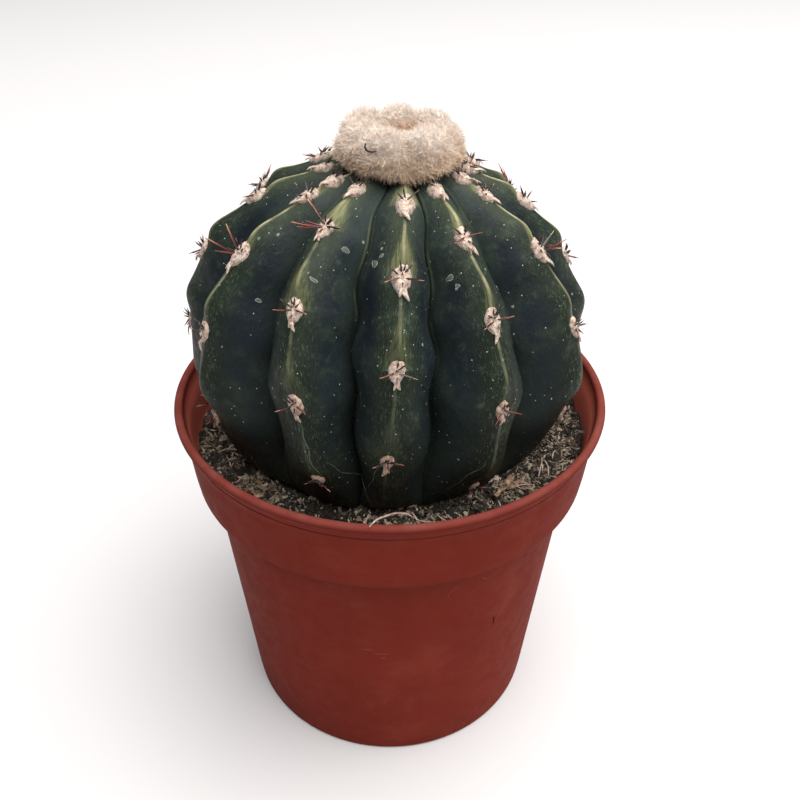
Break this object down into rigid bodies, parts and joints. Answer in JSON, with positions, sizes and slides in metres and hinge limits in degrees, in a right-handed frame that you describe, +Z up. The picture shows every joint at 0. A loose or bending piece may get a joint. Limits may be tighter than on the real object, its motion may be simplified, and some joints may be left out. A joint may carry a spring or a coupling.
{
  "type": "potted round cactus",
  "caption": "Round ribbed cactus with felted areoles, short spines and a woolly crown, in a stepped round nursery pot filled with dry potting mix.",
  "frame": {"origin": "centre of the pot's foot, in the plane that it stands on", "axes": "+Z up the plant; the front of the plant faces -Y; +X to the right of the front"},
  "size_m": [0.13, 0.13, 0.196],
  "materials": {
    "pot": "injection-moulded terracotta-red polypropylene with a soft satin face",
    "soil": "dry crumbly peat, coir and bark",
    "cactus": "waxy dark green skin",
    "wool": "matted cream wool"
  },
  "bodies": {
    "root": {"pot": "pot", "soil": "soil", "cactus_body": "cactus", "cephalium": "wool"}
  },
  "joints": []
}
